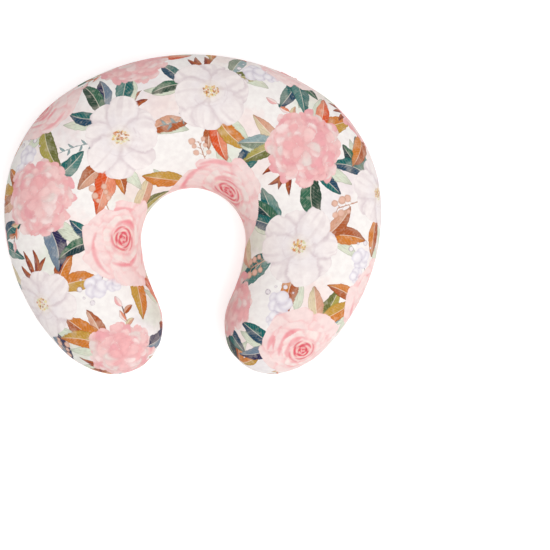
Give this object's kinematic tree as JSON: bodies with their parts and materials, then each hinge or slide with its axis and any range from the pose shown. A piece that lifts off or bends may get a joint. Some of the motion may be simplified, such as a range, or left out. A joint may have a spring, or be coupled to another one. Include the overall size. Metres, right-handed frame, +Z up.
{
  "type": "nursing pillow",
  "caption": "Horseshoe nursing pillow: fibre-filled cotton casing in a zipped cover with a floral jersey top and plain blush underside.",
  "frame": {"origin": "bottom centre of the bounding box, on the plane that the underside rests on", "axes": "+X to the right across both arms, +Y towards the rounded back with the zip, +Z up; the mouth between the lobes faces -Y"},
  "size_m": [0.5322, 0.4527, 0.145],
  "materials": {
    "floral_jersey": "smooth knitted jersey with a printed watercolour floral",
    "pink_velour": "plain blush short-pile velour",
    "white_cotton": "plain woven cotton",
    "fibre": "loose hollow polyester fibre",
    "zip_tape": "woven polyester tape",
    "zip_coil": "satin nylon coil",
    "slider_enamel": "satin enamel on die-cast metal",
    "thread": "spun polyester sewing thread",
    "label": "blank satin label"
  },
  "bodies": {
    "pillow": {"cover_top_panel": "floral_jersey", "cover_bottom_panel": "pink_velour", "cover_seam_allowance": "floral_jersey", "casing_top_panel": "white_cotton", "casing_bottom_panel": "white_cotton", "casing_seam_allowance": "white_cotton", "casing_closing_stitch": "thread", "casing_label": "label", "cover_care_label": "label", "fibre_fill": "fibre", "zip_tape_upper": "zip_tape", "zip_tape_lower": "zip_tape", "zip_coil_upper": "zip_coil", "zip_coil_lower": "zip_coil", "zip_topstitch_upper": "thread", "zip_topstitch_lower": "thread", "zip_top_stop_upper": "slider_enamel", "zip_top_stop_lower": "slider_enamel", "zip_bottom_stop": "slider_enamel", "zip_bar_tack_right": "thread", "zip_bar_tack_left": "thread"},
    "zip_slider": {"zip_slider_body": "slider_enamel"},
    "zip_pull": {"zip_pull_tab": "slider_enamel"}
  },
  "joints": [
    {"name": "zip_travel", "type": "hinge", "parent": "pillow", "child": "zip_slider", "pos_m": [0, -0.0939, 0.0611], "axis": [0, 0, 1], "range_deg": [0, 53.8]},
    {"name": "zip_pull_swing", "type": "hinge", "parent": "zip_slider", "child": "zip_pull", "pos_m": [0.14535, 0.19259, 0.06067], "axis": [-0.0827, -0.163, -0.9831], "range_deg": [0, 170]}
  ]
}
